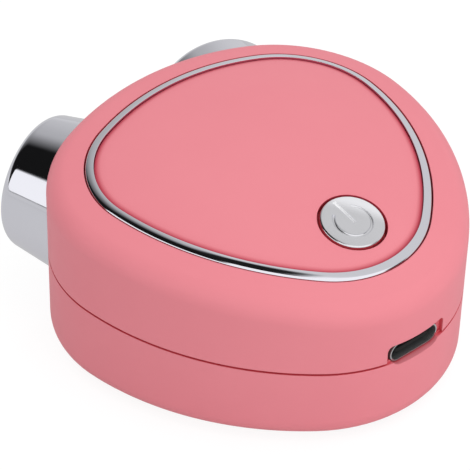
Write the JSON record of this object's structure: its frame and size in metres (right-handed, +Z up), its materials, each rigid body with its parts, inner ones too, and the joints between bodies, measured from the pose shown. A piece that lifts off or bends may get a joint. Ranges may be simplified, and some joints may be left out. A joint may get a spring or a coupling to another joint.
{
  "type": "facial toning device",
  "caption": "Handheld facial toner with a rounded pink case, splayed chrome tapered rollers, a domed face plate in a chrome trim ring, a power button and a USB-C charging socket.",
  "frame": {"origin": "middle of the device's footprint, on the plane of its base", "axes": "+Z up, +Y towards the rollers, +X to the right when looking from the charging socket towards the rollers"},
  "size_m": [0.0606, 0.0676, 0.0316],
  "materials": {
    "case_pink": "soft-touch matt paint",
    "plate_pink": "soft-touch matt paint",
    "trim_chrome": "bright plated",
    "button_satin": "satin, turned",
    "silicone": "matt, translucent white",
    "switch_black": "moulded",
    "board_green": "solder resist",
    "screw_steel": "zinc plated",
    "plug_pink": "matt",
    "roller_chrome": "mirror plated",
    "core_white": "moulded",
    "axle_steel": "ground",
    "bush_bronze": "sintered",
    "spring_brass": "rolled strip",
    "carrier_black": "moulded",
    "socket_steel": "drawn, bright",
    "chip_black": "moulded",
    "coil_copper": "enamelled winding on a ferrite core",
    "capacitor_tan": "fired ceramic",
    "battery_foil": "laminated foil pouch",
    "foam_grey": "closed-cell foam",
    "wire_red": "insulated wire",
    "wire_black": "insulated wire",
    "wire_white": "insulated wire"
  },
  "bodies": {
    "case": {"top_shell": "case_pink", "bottom_shell": "case_pink", "case_screws": "screw_steel", "screw_plugs": "plug_pink", "trim_ring": "trim_chrome", "face_plate": "plate_pink", "button_dome": "silicone", "switch_body": "switch_black", "switch_board": "board_green", "switch_board_screws": "screw_steel", "roller_carrier": "carrier_black", "carrier_screws": "screw_steel", "usb_shell": "socket_steel", "usb_tongue": "chip_black", "main_board": "board_green", "board_screws": "screw_steel", "controller_chip": "chip_black", "charger_chip": "chip_black", "boost_coil": "coil_copper", "board_capacitors": "capacitor_tan", "battery": "battery_foil", "battery_pad": "foam_grey", "battery_wire_red": "wire_red", "battery_wire_black": "wire_black", "switch_wires": "wire_white", "front_bush_right": "bush_bronze", "rear_bush_right": "bush_bronze", "contact_spring_right": "spring_brass", "electrode_wire_right": "wire_white", "front_bush_left": "bush_bronze", "rear_bush_left": "bush_bronze", "contact_spring_left": "spring_brass", "electrode_wire_left": "wire_white"},
    "roller_right": {"roller_shell_right": "roller_chrome", "roller_core_right": "core_white", "axle_right": "axle_steel", "axle_clip_right": "axle_steel", "thrust_washer_right": "axle_steel"},
    "roller_left": {"roller_shell_left": "roller_chrome", "roller_core_left": "core_white", "axle_left": "axle_steel", "axle_clip_left": "axle_steel", "thrust_washer_left": "axle_steel"},
    "button": {"power_button": "button_satin", "switch_plunger": "switch_black"}
  },
  "joints": [
    {"name": "roller_right_spin", "type": "hinge", "parent": "case", "child": "roller_right", "pos_m": [0.01337, 0.01877, 0.01541], "axis": [0.3247, 0.9445, 0.0495], "continuous": true},
    {"name": "roller_left_spin", "type": "hinge", "parent": "case", "child": "roller_left", "pos_m": [-0.01337, 0.01877, 0.01541], "axis": [-0.3247, 0.9445, 0.0495], "continuous": true},
    {"name": "button_press", "type": "slide", "parent": "case", "child": "button", "axis": [0, 0.2772, -0.9608], "range_m": [0, 0.0004], "stiffness_N_per_m": 2500, "springref_m": -0.0003, "deforming": ["button_dome"]}
  ]
}
